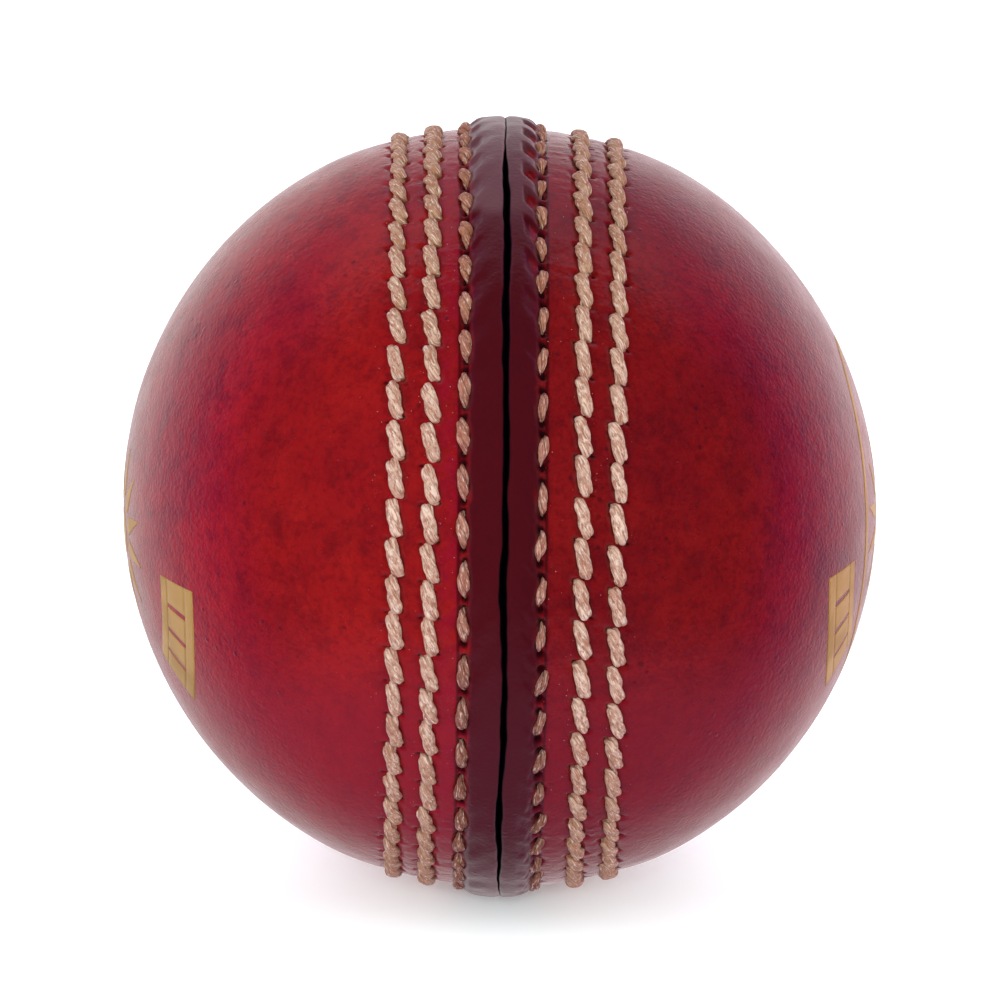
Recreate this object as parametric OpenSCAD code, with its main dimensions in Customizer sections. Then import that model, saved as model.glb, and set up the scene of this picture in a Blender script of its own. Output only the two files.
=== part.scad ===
// Hand-stitched cricket ball with a two-piece leather cover.
// Millimetres. Origin at the centre of the ball. The seam lies in the YZ plane,
// and +X runs out through the pole of the right-hand cup.

/* [Ball] */
// Diameter of the leather body, from pole to pole
body_diameter = 71.0; // [68:0.5:73]
// How far the seam's crest stands above the body
welt_height = 1.35; // [0.9:0.05:1.6]
// Thickness of the leather cover
leather_thickness = 4.0; // [3.5:0.1:4.5]
// Thickness of the thin leather lining glued inside each cup
lining_thickness = 0.8; // [0.6:0.1:1.2]

/* [Seam welt] */
// Width of the groove between the two lips, at its mouth
joint_gap = 0.5; // [0.3:0.05:0.9]
// Depth of that groove, measured down from the crest
joint_depth = 1.25; // [1:0.05:1.3]
// Width of one lip, from the joint to its outer side
lip_width = 3.05; // [2.8:0.05:3.2]

/* [Stitch rows] */
// Distance from the joint to the left inner row, along the ball's axis
left_inner_offset = 3.65; // [3.5:0.05:4]
// Distance from the joint to the left middle row
left_middle_offset = 6.7; // [6.6:0.05:7.2]
// Distance from the joint to the left outer row
left_outer_offset = 9.85; // [9.8:0.05:10.5]
// Distance from the joint to the right inner row
right_inner_offset = 3.35; // [3.2:0.05:3.8]
// Distance from the joint to the right middle row
right_middle_offset = 7.15; // [6.6:0.05:7.2]
// Distance from the joint to the right outer row
right_outer_offset = 10.35; // [9.8:0.05:10.5]
// Number of stitches in the left inner row
left_inner_count = 51; // [44:1:54]
// Number of stitches in the left middle row
left_middle_count = 61; // [50:1:61]
// Number of stitches in the left outer row
left_outer_count = 61; // [50:1:61]
// Number of stitches in the right inner row
right_inner_count = 52; // [44:1:54]
// Number of stitches in the right middle row
right_middle_count = 59; // [50:1:61]
// Number of stitches in the right outer row
right_outer_count = 58; // [50:1:60]
// Lean of every stitch away from the line of its row, in degrees
stitch_lean = 9; // [7:1:11]

/* [Thread] */
// Thickness of the sewing thread in the middle and outer rows
thread_diameter = 1.3; // [1.1:0.05:1.3]
// Length of a stitch in the middle rows
middle_stitch_length = 3.58; // [3:0.02:3.58]
// Length of a stitch in the outer rows, where the ball is narrower
outer_stitch_length = 3.5; // [3:0.02:3.5]
// How far a middle or outer stitch stands above the leather
stitch_height = 0.65; // [0.5:0.05:0.7]
// Thickness of the pulled-down thread in the inner rows
inner_thread_diameter = 1.3; // [1.1:0.05:1.3]
// Length of an inner stitch
inner_stitch_length = 3.0; // [2.4:0.1:3.4]
// How far an inner stitch stands above the body
inner_stitch_height = 0.45; // [0.3:0.05:0.5]

/* [Core] */
// Diameter of the cork and rubber nucleus
nucleus_diameter = 21; // [18:1:24]
// Share of the wound core's thickness that is twine
twine_share = 0.45; // [0.35:0.05:0.6]
// Number of cork gores in each cork layer
cork_gores = 8; // [6:1:12]
// Gap between neighbouring cork gores
gore_gap = 0.4; // [0.2:0.1:0.8]

/* [Emblem] */
// Thickness of the gold foil
foil_thickness = 0.15; // [0.1:0.05:0.2]
// Radius of the emblem's panels, seen along the ball's axis
emblem_radius = 18.2; // [16:0.2:19]
// Height of the oval line that rings the right emblem, from its centre
oval_height = 16.6; // [14:0.2:17]
// Width of the same oval, from its centre
oval_width = 9.6; // [9:0.2:11]
// Number of plain rays in the middle of the emblem
ray_count = 12; // [8:1:16]
// How far the left emblem was pressed off its pole, in degrees
left_emblem_slip = 6.8; // [0:0.2:8]

/* [Hidden] */
$fn = 96;

body_r = body_diameter / 2;
crest_r = body_r + welt_height;
cover_inner_r = body_r - leather_thickness;
lining_inner_r = cover_inner_r - lining_thickness;
nucleus_r = nucleus_diameter / 2;

// The wound core: five twine windings with four cork layers between them.
core_build_up = lining_inner_r - nucleus_r;
twine_layers = 5;
cork_layers = 4;
twine_t = core_build_up * twine_share / twine_layers;
cork_t = core_build_up * (1 - twine_share) / cork_layers;
function twine_inner_r(n) = nucleus_r + (n - 1) * (twine_t + cork_t);
function cork_inner_r(n) = twine_inner_r(n) + twine_t;

// Lip section: a tight curve into the joint, a flat crest, a rounder outer shoulder.
lip_nose_r = 0.75;
lip_shoulder_r = 1.1;
joint_half = joint_gap / 2;
lip_root_r = body_r - 1.5;

// Beds for the stitches.
bed_r = 1.04;
inner_bed_r = 0.85;
bed_lift = 0.3;

// Rows, written as latitude above the seam plane.
function latitude(offset) = asin(offset / body_r);
thread_line_r = body_r + stitch_height - thread_diameter / 2;
inner_line_r = body_r + inner_stitch_height - inner_thread_diameter / 2;

// First stitch of each row, in degrees round the seam from the top towards the front.
left_outer_start = 3.9;
left_middle_start = 4.6;
left_inner_start = 5.6;
right_inner_start = 2.9;
right_middle_start = 2.1;
right_outer_start = 1.8;

pole_gap_r = 1.2;       // cork gores stop this far short of their pole
preview_facets = 24;    // facets on the small rounds of one stitch
far = 2 * body_diameter;

// Emblem sections, all seen along the ball's axis.
oval_line = 0.9;
panel_depth = 5.2;
panel_half_angle = 21;
panel_angle = 29;       // below the front of the ball
slot_width = 0.45;
ray_root_r = 3.6;
ray_tip_r = 8.2;
ray_half_width = 0.9;
boss_r = 2.2;

// ---- shared shapes ----

module shell(outer_r, inner_r) {
    difference() {
        sphere(r = outer_r);
        sphere(r = inner_r);
    }
}

// Everything on the +X side of the seam plane.
module right_side() {
    translate([0, -far / 2, -far / 2]) cube([far, far, far]);
}

// A 2D section, x = distance from the axis and y = distance from the seam plane, turned round X.
module around_axis() {
    rotate([0, 90, 0]) rotate_extrude() children();
}

module lip_section() {
    translate([crest_r - lip_nose_r, joint_half + lip_nose_r]) circle(r = lip_nose_r);
    translate([crest_r - lip_shoulder_r, lip_width - lip_shoulder_r]) circle(r = lip_shoulder_r);
    polygon([
        [lip_root_r, 0],
        [crest_r - joint_depth, 0],
        [crest_r - lip_nose_r, joint_half],
        [crest_r, joint_half + lip_nose_r],
        [crest_r, lip_width - lip_shoulder_r],
        [crest_r - lip_shoulder_r, lip_width],
        [lip_root_r, lip_width]
    ]);
}

// Round-bottomed channel that a row of stitches lies in.
module bed(offset, line_r, channel_r) {
    lat = latitude(offset);
    around_axis()
        translate([line_r * cos(lat), line_r * sin(lat)])
            circle(r = channel_r);
}

module right_cup(inner_offset, middle_offset, outer_offset) {
    difference() {
        union() {
            intersection() {
                sphere(r = body_r);
                right_side();
            }
            around_axis() lip_section();
        }
        sphere(r = cover_inner_r);
        bed(inner_offset, inner_line_r + 0.05, inner_bed_r);
        bed(middle_offset, thread_line_r + bed_lift, bed_r);
        bed(outer_offset, thread_line_r + bed_lift, bed_r);
    }
}

module right_lining() {
    intersection() {
        shell(cover_inner_r, lining_inner_r);
        right_side();
    }
}

// One stitch: a round-ended length of thread.
module stitch(length, diameter) {
    straight = length - diameter;
    rotate([90, 0, 0]) cylinder(h = straight, d = diameter, center = true, $fn = preview_facets);
    for (end = [-1, 1])
        translate([0, end * straight / 2, 0]) sphere(d = diameter, $fn = preview_facets);
}

// A full row, on the side given by the sign of the offset.
module stitch_row(count, start, offset, line_r, length, diameter) {
    for (i = [0 : count - 1])
        rotate([start + i * 360 / count, 0, 0])
            rotate([0, latitude(offset), 0])
                translate([0, 0, line_r])
                    rotate([0, 0, stitch_lean])
                        stitch(length, diameter);
}

module outer_row(count, start, offset) {
    stitch_row(count, start, offset, thread_line_r, outer_stitch_length, thread_diameter);
}

module middle_row(count, start, offset) {
    stitch_row(count, start, offset, thread_line_r, middle_stitch_length, thread_diameter);
}

module inner_row(count, start, offset) {
    stitch_row(count, start, offset, inner_line_r, inner_stitch_length, inner_thread_diameter);
}

// A hollow ball of cork gores, with its poles on the Z axis.
module cork_layer(n) {
    inner_r = cork_inner_r(n);
    outer_r = inner_r + cork_t;
    step = 360 / cork_gores;
    half_gap = asin(gore_gap / 2 / inner_r);
    for (i = [0 : cork_gores - 1])
        rotate([0, 0, i * step + half_gap])
            rotate_extrude(angle = step - 2 * half_gap)
                intersection() {
                    difference() {
                        circle(r = outer_r);
                        circle(r = inner_r);
                    }
                    translate([pole_gap_r, -outer_r]) square([outer_r, 2 * outer_r]);
                }
}

module ring_2d(outer, line) {
    difference() {
        circle(r = outer);
        circle(r = outer - line);
    }
}

// Plain curved panel, with three slots, centred on the 2D +x axis.
module panel_2d() {
    reach = 2 * emblem_radius;
    difference() {
        intersection() {
            ring_2d(emblem_radius, panel_depth);
            polygon([[0, 0],
                [reach * cos(panel_half_angle), -reach * sin(panel_half_angle)],
                [reach * cos(panel_half_angle), reach * sin(panel_half_angle)]]);
        }
        for (turn = [-1, 0, 1])
            rotate(turn * panel_half_angle / 2)
                translate([emblem_radius - panel_depth + 1.2, -slot_width / 2])
                    square([panel_depth - 2.4, slot_width]);
    }
}

// Upright oval line: 2D x is its width.
module oval_2d() {
    difference() {
        scale([oval_width, oval_height]) circle(r = 1);
        scale([oval_width - oval_line, oval_height - oval_line]) circle(r = 1);
    }
}

module emblem_2d(oval) {
    if (oval) oval_2d();
    circle(r = boss_r);
    for (turn = [panel_angle, panel_angle + 180]) rotate(turn) panel_2d();
    for (i = [0 : ray_count - 1])
        rotate((i + 0.5) * 360 / ray_count)
            polygon([[ray_root_r, 0], [(ray_root_r + ray_tip_r) / 3, -ray_half_width],
                [ray_tip_r, 0], [(ray_root_r + ray_tip_r) / 3, ray_half_width]]);
}

// Emblem pressed on the right-hand pole: 2D x points to the front (-Y), 2D y points down.
module pole_emblem(oval) {
    intersection() {
        shell(body_r + foil_thickness, body_r);
        rotate([0, 90, 0]) rotate([0, 0, -90]) linear_extrude(height = body_diameter) emblem_2d(oval);
    }
}

// ---- the pieces ----

module cork_nucleus() {
    color("#8a5a34") sphere(r = nucleus_r);
}

module twine_winding(n) {
    color("#cdb68c") shell(twine_inner_r(n) + twine_t, twine_inner_r(n));
}

module twine_winding_1() twine_winding(1);
module twine_winding_2() twine_winding(2);
module twine_winding_3() twine_winding(3);
module twine_winding_4() twine_winding(4);
module twine_winding_5() twine_winding(5);

module cork_layer_1() {
    color("#a9763f") cork_layer(1);
}

module cork_layer_2() {
    color("#a9763f") rotate([0, 90, 0]) cork_layer(2);
}

module cork_layer_3() {
    color("#a9763f") rotate([90, 0, 0]) cork_layer(3);
}

module cork_layer_4() {
    color("#a9763f") cork_layer(4);
}

module right_cover_lining() {
    color("#c9a177") right_lining();
}

module left_cover_lining() {
    color("#c9a177") mirror([1, 0, 0]) right_lining();
}

module right_cover_half() {
    color("#8e1420") right_cup(right_inner_offset, right_middle_offset, right_outer_offset);
}

module left_cover_half() {
    color("#8e1420") mirror([1, 0, 0]) right_cup(left_inner_offset, left_middle_offset, left_outer_offset);
}

module left_outer_stitches() {
    color("#d8b88f") outer_row(left_outer_count, left_outer_start, -left_outer_offset);
}

module left_middle_stitches() {
    color("#d8b88f") middle_row(left_middle_count, left_middle_start, -left_middle_offset);
}

module left_inner_stitches() {
    color("#b98359") inner_row(left_inner_count, left_inner_start, -left_inner_offset);
}

module right_inner_stitches() {
    color("#b98359") inner_row(right_inner_count, right_inner_start, right_inner_offset);
}

module right_middle_stitches() {
    color("#d8b88f") middle_row(right_middle_count, right_middle_start, right_middle_offset);
}

module right_outer_stitches() {
    color("#d8b88f") outer_row(right_outer_count, right_outer_start, right_outer_offset);
}

module right_foil_emblem() {
    color("#b79a4c") pole_emblem(true);
}

// The left emblem sits off its pole, towards its lower front panel.
module left_foil_emblem() {
    color("#b79a4c")
        rotate(a = left_emblem_slip, v = [0, -sin(panel_angle), cos(panel_angle)])
            mirror([1, 0, 0]) pole_emblem(false);
}

cork_nucleus();
twine_winding_1();
cork_layer_1();
twine_winding_2();
cork_layer_2();
twine_winding_3();
cork_layer_3();
twine_winding_4();
cork_layer_4();
twine_winding_5();
left_cover_lining();
right_cover_lining();
left_cover_half();
right_cover_half();
left_outer_stitches();
left_middle_stitches();
left_inner_stitches();
right_inner_stitches();
right_middle_stitches();
right_outer_stitches();
left_foil_emblem();
right_foil_emblem();
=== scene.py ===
import itertools
import math

import bmesh
import bpy
import numpy as np
from mathutils import Matrix, Quaternion, Vector


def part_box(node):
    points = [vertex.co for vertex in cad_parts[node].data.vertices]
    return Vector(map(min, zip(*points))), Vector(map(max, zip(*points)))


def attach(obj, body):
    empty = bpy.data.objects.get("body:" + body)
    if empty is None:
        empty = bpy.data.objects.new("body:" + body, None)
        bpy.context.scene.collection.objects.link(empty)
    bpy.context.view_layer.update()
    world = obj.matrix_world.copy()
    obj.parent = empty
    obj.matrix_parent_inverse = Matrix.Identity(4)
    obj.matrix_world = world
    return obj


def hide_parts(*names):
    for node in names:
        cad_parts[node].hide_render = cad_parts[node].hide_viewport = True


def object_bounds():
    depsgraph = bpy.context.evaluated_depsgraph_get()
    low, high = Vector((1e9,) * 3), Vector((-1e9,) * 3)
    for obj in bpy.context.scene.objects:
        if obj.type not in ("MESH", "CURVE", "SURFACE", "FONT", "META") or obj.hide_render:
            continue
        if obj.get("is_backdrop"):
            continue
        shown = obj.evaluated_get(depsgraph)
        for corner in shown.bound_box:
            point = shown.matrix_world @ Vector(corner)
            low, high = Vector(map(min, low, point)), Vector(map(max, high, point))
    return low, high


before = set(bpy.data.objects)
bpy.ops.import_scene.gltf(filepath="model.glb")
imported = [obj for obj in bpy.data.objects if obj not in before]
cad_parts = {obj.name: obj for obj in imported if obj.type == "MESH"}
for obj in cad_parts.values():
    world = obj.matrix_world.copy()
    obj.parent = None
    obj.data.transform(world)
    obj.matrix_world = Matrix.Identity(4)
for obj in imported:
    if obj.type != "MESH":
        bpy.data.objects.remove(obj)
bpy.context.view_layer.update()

MM = 0.001
TAU = 2 * math.pi
rng = np.random.default_rng(4)

# ---------------- sizes, in millimetres, from the CAD frame
BODY_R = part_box("right_cover_half")[1].x / MM
CREST_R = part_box("right_cover_half")[1].z / MM
WELT = CREST_R - BODY_R
INNER_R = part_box("right_cover_lining")[1].x / MM


def row_offset(node):
    """Distance of a row's middle line from the seam plane."""
    low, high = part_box(node)
    return abs(low.x + high.x) / 2 / MM


WORDS = {-1: "left", 1: "right"}
INNER, MIDDLE, OUTER = 0, 1, 2
OFFSETS = {
    side: [row_offset("%s_%s_stitches" % (word, row)) for row in ("inner", "middle", "outer")]
    for side, word in WORDS.items()
}

# The sewing of each row: how many stitches, how far the first lies past the front (in radians of one stitch's
# turn), and how far and how many times round the ball the spacing drifts.
SEWING = {
    (-1, INNER): (51, 3.80, -0.50, 3),
    (-1, MIDDLE): (61, 2.45, 0.40, 5),
    (-1, OUTER): (61, 1.75, 0.45, 5),
    (1, INNER): (52, -0.70, -0.45, 3),
    (1, MIDDLE): (59, 2.05, -0.65, 3),
    (1, OUTER): (58, 3.15, -0.75, 3),
}
LOOSE = {(-1, INNER): 1.4, (1, INNER): 2.2}     # how much less even than the others the inner rows are

CAMERA_RISE = math.radians(11)      # camera above the horizontal
FRONT = math.pi / 2 - CAMERA_RISE   # angle round the seam, from the top, of its point nearest the camera
UP = FRONT - math.pi / 2            # and of the highest point as the camera sees it

# The ball's own small faults.
TALLER = 1.0105                     # how far the sewn strips are pulled out of the round, as a factor
FULLER = 1.0205                     # and the plain leather beside them
LOWER_RIGHT = 0.0125                # mm lower for each mm to the right
SEAM_DRIFT = 0.45                   # how far to the right of the middle the joint lies, mm


# ---------------- small tools
def smoothstep(low, high, value):
    t = np.clip((value - low) / (high - low), 0.0, 1.0)
    return t * t * (3 - 2 * t)


def lattice(ix, iy, iz, seed):
    """One pseudo-random number from 0 to 1 for each point of a grid."""
    n = (ix * 374761393 + iy * 668265263 + iz * 1442695041 + seed * 974634777) & 0xFFFFFFFF
    n = ((n ^ (n >> 13)) * 1274126177) & 0xFFFFFFFF
    n = n ^ (n >> 16)
    return (n & 0xFFFFFF) / float(0xFFFFFF)


def noise(points, seed):
    """Smooth noise from -1 to 1 with a feature size of about one unit."""
    cell = np.floor(points).astype(np.int64)
    f = points - cell
    f = f * f * (3 - 2 * f)
    total = 0.0
    for corner in itertools.product((0, 1), repeat=3):
        weight = 1.0
        for axis, step in enumerate(corner):
            weight = weight * (f[..., axis] if step else 1 - f[..., axis])
        ix, iy, iz = (cell[..., axis] + step for axis, step in enumerate(corner))
        total = total + weight * lattice(ix, iy, iz, seed)
    return total * 2 - 1


def round_axis(x, r, theta):
    """Point x from the seam plane and r from the ball's axis, at an angle theta from the top."""
    return np.stack([x, -r * np.sin(theta), r * np.cos(theta)], axis=-1)


def on_sphere(x, theta, height):
    """Point at signed distance x from the seam plane, at an angle theta from the top round the seam."""
    latitude = np.arcsin(np.clip(x / BODY_R, -1, 1))
    r = BODY_R + height
    return round_axis(r * np.sin(latitude), r * np.cos(latitude), theta)


def from_top(theta):
    """Angle from the highest point of the seam, in degrees, from 0 to 180."""
    return np.degrees(np.abs((theta - UP + math.pi) % TAU - math.pi))


def drift(points):
    """Gives the outer pieces the ball's own small faults.

    The seam and its rows lie a little to the right, less so below. The ball is taller than wide, because the
    sewing pulls the cups out, and the right cup sits a little lower than the left."""
    share = np.clip(np.abs(points[..., 0]) / BODY_R, 0, 1)
    angle = from_top(np.arctan2(-points[..., 1], points[..., 2]))
    sideways = SEAM_DRIFT * (1 - 0.85 * smoothstep(115, 165, angle)) - 0.15 * smoothstep(50, 15, angle)
    fuller = TALLER + (FULLER - TALLER) * smoothstep(8, 17, np.abs(points[..., 0]))
    moved = points.copy()
    moved[..., 0] += sideways * np.cos(share * math.pi / 2) ** 2
    moved[..., 1:] *= fuller[..., None]
    moved[..., 2] -= LOWER_RIGHT * points[..., 0]
    return moved


def add_object(name, data):
    ob = bpy.data.objects.new(name, data)
    bpy.context.scene.collection.objects.link(ob)
    return ob


def build(name, verts_mm, faces, attributes=None, uv=None):
    """Makes a smooth mesh object, in metres, with its normals outwards."""
    me = bpy.data.meshes.new(name)
    me.from_pydata((verts_mm * MM).tolist(), [], faces)
    for key, values in (attributes or {}).items():
        layer = me.attributes.new(key, "FLOAT", "POINT")
        layer.data.foreach_set("value", np.asarray(values, np.float32))
    if uv is not None:
        layer = me.uv_layers.new(name="strand")
        loops = np.zeros(len(me.loops), np.int32)
        me.loops.foreach_get("vertex_index", loops)
        layer.data.foreach_set("uv", uv[loops].astype(np.float32).ravel())
    bm = bmesh.new()
    bm.from_mesh(me)
    bmesh.ops.recalc_face_normals(bm, faces=bm.faces)
    bm.to_mesh(me)
    bm.free()
    me.shade_smooth()
    return add_object(name, me)


def stands_for(ob, node, material):
    """Puts a detailed piece in the place of a CAD node."""
    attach(ob, "root")
    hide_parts(node)
    ob.data.materials.clear()
    ob.data.materials.append(material)


# ---------------- how the stitches lie
class Row:
    """One row of stitches: its place, and each stitch's own small differences."""

    def __init__(self, side, which):
        self.side = side
        self.count, self.start, self.drift, self.waves = SEWING[side, which]
        self.offset = OFFSETS[side][which]
        self.x = side * self.offset
        self.radius = math.sqrt(BODY_R ** 2 - self.offset ** 2)
        n = self.count
        loose = LOOSE.get((side, which), 1.0)
        self.along = rng.uniform(-0.09, 0.09, n) * loose        # mm, along the row
        self.across = rng.uniform(-0.07, 0.07, n) * loose       # mm, across the row
        self.lean = rng.uniform(-0.05, 0.05, n) * loose         # mm of extra lean per mm
        self.size = 1 + rng.uniform(-0.06, 0.06, n) * loose
        self.pull = rng.uniform(0.75, 1.25, n)          # how hard the leather is pulled down here
        self.tone = rng.uniform(0, 1, n)

    def turns(self, theta):
        """Stitches passed since the first, in radians of one stitch's turn, and its rate of change."""
        t = theta - FRONT
        passed = self.count * t - self.start - self.drift * np.cos(self.waves * t)
        return passed, self.count + self.drift * self.waves * np.sin(self.waves * t)

    def angle(self, k):
        """Angle round the seam of stitch k."""
        t = TAU * k / self.count
        for _ in range(4):
            t = (TAU * k + self.start + self.drift * np.cos(self.waves * t)) / self.count
        return FRONT + t

    def beside(self, x_signed, theta, step=0):
        """The nearest stitch to a surface point, or one a step away, and the point's place from it in mm."""
        passed, rate = self.turns(theta)
        k = np.round(passed / TAU).astype(int) + step
        i = k % self.count
        v = -self.radius * (passed - TAU * k) / rate - self.along[i]
        return i, x_signed - self.x - self.across[i], v


ROWS = {side: [Row(side, which) for which in (INNER, MIDDLE, OUTER)] for side in WORDS}

LEAN = 0.190            # sideways mm per mm along the row, upper end to the left
HOOK = 0.05             # how far each end bends outwards into its hole
THREAD_R = 0.66
TURN_DOWN = 0.26        # its middle line turns down this far short of the stitch's end, mm
INNER_HALF = {-1: 1.50, 1: 1.34}            # half the length of an inner stitch that shows
INNER_THREAD_R = {-1: 0.63, 1: 0.53}


def half_length(row):
    """Half the length of a middle or outer stitch: they follow end to end."""
    return math.pi * row.radius / row.count


def inner_lean(row, theta):
    """The inner stitches run down the side of the welt, so they lean more towards the top and bottom."""
    tilt = np.cos(theta - UP)
    return 0.06 + 0.08 * tilt if row.side < 0 else -0.20 + 0.24 * tilt


# ---------------- leather surface
def welt_height(theta):
    """The welt has been pressed down a little with use, slightly more below than on top."""
    return WELT * (0.71 + 0.03 * np.cos(theta - UP))


def surface_profile(side):
    """(distance from the joint, share of the welt's height, height above the body) across the sewn part."""
    i, m, o = OFFSETS[side]
    return np.array([
        (0.20, 0.80, 0.0), (0.28, 0.90, 0.0), (0.40, 0.965, 0.0), (0.60, 1.0, 0.0), (1.00, 1.0, 0.0),
        (1.50, 0.965, 0.0), (i - 1.45, 0.90, 0.0), (i - 1.00, 0.78, 0.0), (i - 0.60, 0.58, 0.0),
        (i - 0.25, 0.36, 0.0), (i + 0.05, 0.16, 0.0), (i + 0.35, 0.02, -0.05), (i + 0.75, 0.0, -0.10),
        ((i + m) / 2, 0.0, -0.06), (m, 0.0, -0.10), ((m + o) / 2, 0.0, -0.02), (o, 0.0, -0.08),
        (o + 1.2, 0.0, -0.02), (o + 2.0, 0.0, 0.0), (40.0, 0.0, 0.0),
    ])


# The wall of the joint, from its bottom to the lip: (share of half its width, share of the welt, height).
JOINT_WALL = [(0.0, 0.0, -0.30), (0.45, 0.0, -0.10), (0.65, 0.25, 0.0), (0.80, 0.50, 0.0), (0.92, 0.68, 0.0)]
MOUTH = 0.20                # the lip's distance from the joint where the profile starts
TOUCHING = 0.004            # half the gap between the two cups where they meet
PIT_DEPTH = {-1: 0.34, 1: 0.62}
BED_DEPTH = 0.22            # channel under a middle or outer stitch
HOLE_DEPTH = 0.45
INNER_BED_DEPTH = 0.34      # and under an inner one
INNER_HOLE_DEPTH = 0.80


def seam_circle(theta):
    """Points round the seam plane, at a radius of 1."""
    return np.stack([np.zeros_like(theta), np.sin(theta), np.cos(theta)], axis=-1)


def joint_open(theta):
    """0 where the two lips touch, at the top and bottom of the ball, and 1 where the groove is open."""
    angle = from_top(theta)
    return smoothstep(24, 34, angle) * (1 - 0.85 * smoothstep(140, 166, angle))


def joint_width(theta):
    """Half the width of the groove."""
    ring = seam_circle(theta)
    wave = 0.05 * noise(ring * 4.0, 11) + 0.05 * noise(ring * 13.0, 12) + 0.04 * noise(ring * 30.0, 13)
    opened = joint_open(theta)
    closed = 1 - smoothstep(164, 174, from_top(theta))
    return np.clip((0.02 + 0.21 * opened + wave * (0.12 + 0.88 * opened)) * closed, 0.006, 0.32)


def folds(side, x, theta):
    """The thread of the inner row pulls the side of the welt into pits, with ribs between them."""
    row = ROWS[side][INNER]
    inwards = row.offset - x                       # distance from the row towards the joint
    passed, rate = row.turns(theta)
    slant = 1.05 * inwards * rate / row.radius     # the ribs climb as they run up to the crest
    nearest = row.beside(side * x, theta)[0]
    phase = (1 + np.cos(passed + slant)) / 2       # 1 in a pit, 0 on a rib
    pit = smoothstep(0.22, 0.80, phase)
    deep = 1 - 0.80 * smoothstep(38, 66, from_top(theta))        # the thread was pulled hardest over the top
    pull = PIT_DEPTH[side] * row.pull[nearest] * deep
    if side > 0:
        reach = smoothstep(1.35, 2.05, x) * (1 - smoothstep(row.offset - 0.80, row.offset - 0.20, x))
        return -pull * pit * reach
    reach = smoothstep(1.9, 2.75, x) * (1 - smoothstep(row.offset - 0.40, row.offset, x))
    fan = 0.10 * phase * np.exp(-(((inwards - 1.7) / 0.8) ** 2))
    return -pull * pit * reach - fan


def long_beds(row, x, theta):
    """(bed, hole), from 0 to about 1: the channel under each middle or outer stitch, and its awl holes."""
    half = half_length(row)
    bed, hole = np.zeros_like(x), np.zeros_like(x)
    for step in (-1, 0, 1):
        i, u, v = row.beside(row.side * x, theta, step)
        t = np.clip(v / half, -1.15, 1.15)
        line = -LEAN * v - HOOK * t ** 5
        along = np.clip(1.2 - np.abs(v) / half, 0, 0.2) * 5
        bed = np.maximum(bed, np.exp(-(((u - line) / 0.74) ** 4)) * along * row.pull[i])
        for end in (-1, 1):
            outward = end == -row.side             # the end that lies away from the joint
            hu = u + end * (LEAN * half + HOOK + (0.54 if outward else 0.30))
            hv = v - end * (half - 0.12)
            size_u, size_v = (0.22, 0.12) if outward else (0.18, 0.16)
            torn = 0.35 + 0.65 * row.tone[(i * 7 + 3) % row.count]
            hole = np.maximum(hole, torn * np.exp(-((hu / size_u) ** 2 + (hv / size_v) ** 2)))
    return bed, hole


def inner_beds(row, x, theta):
    """The same for the inner stitches, which lie in the foot of the welt."""
    wide, half = INNER_THREAD_R[row.side], INNER_HALF[row.side]
    bed, hole = np.zeros_like(x), np.zeros_like(x)
    for step in (-1, 0, 1):
        i, u, v = row.beside(row.side * x, theta, step)
        line = -inner_lean(row, theta) * v
        bed = np.maximum(bed, np.exp(-((u - line) / wide) ** 4 - (v / half) ** 4))
        for end in (-1, 1):
            hv = v - end * (half + 0.22)
            hole = np.maximum(hole, np.exp(-((u / 0.36) ** 2 + (hv / 0.42) ** 2)))
    return bed, hole


def stitch_beds(side, x, theta):
    """(height, crease) of the channels that the thread presses into the leather, and of their awl holes.
    crease is the painted shade in them.
    """
    height, crease = np.zeros_like(x), np.zeros_like(x)
    for row in ROWS[side][1:]:
        near = np.abs(x - row.offset) < 2.2
        bed, hole = long_beds(row, x[near], theta[near])
        height[near] -= BED_DEPTH * np.clip(bed, 0, 1.2) + HOLE_DEPTH * hole
        crease[near] = np.maximum(crease[near], np.clip(0.35 * bed + 1.25 * hole, 0, 1))
    row = ROWS[side][INNER]
    near = np.abs(x - row.offset) < 1.7
    bed, hole = inner_beds(row, x[near], theta[near])
    height[near] -= INNER_BED_DEPTH * bed + INNER_HOLE_DEPTH * hole
    crease[near] = np.maximum(crease[near], np.clip(0.75 * bed + 1.2 * hole, 0, 1))
    return height, crease


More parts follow.
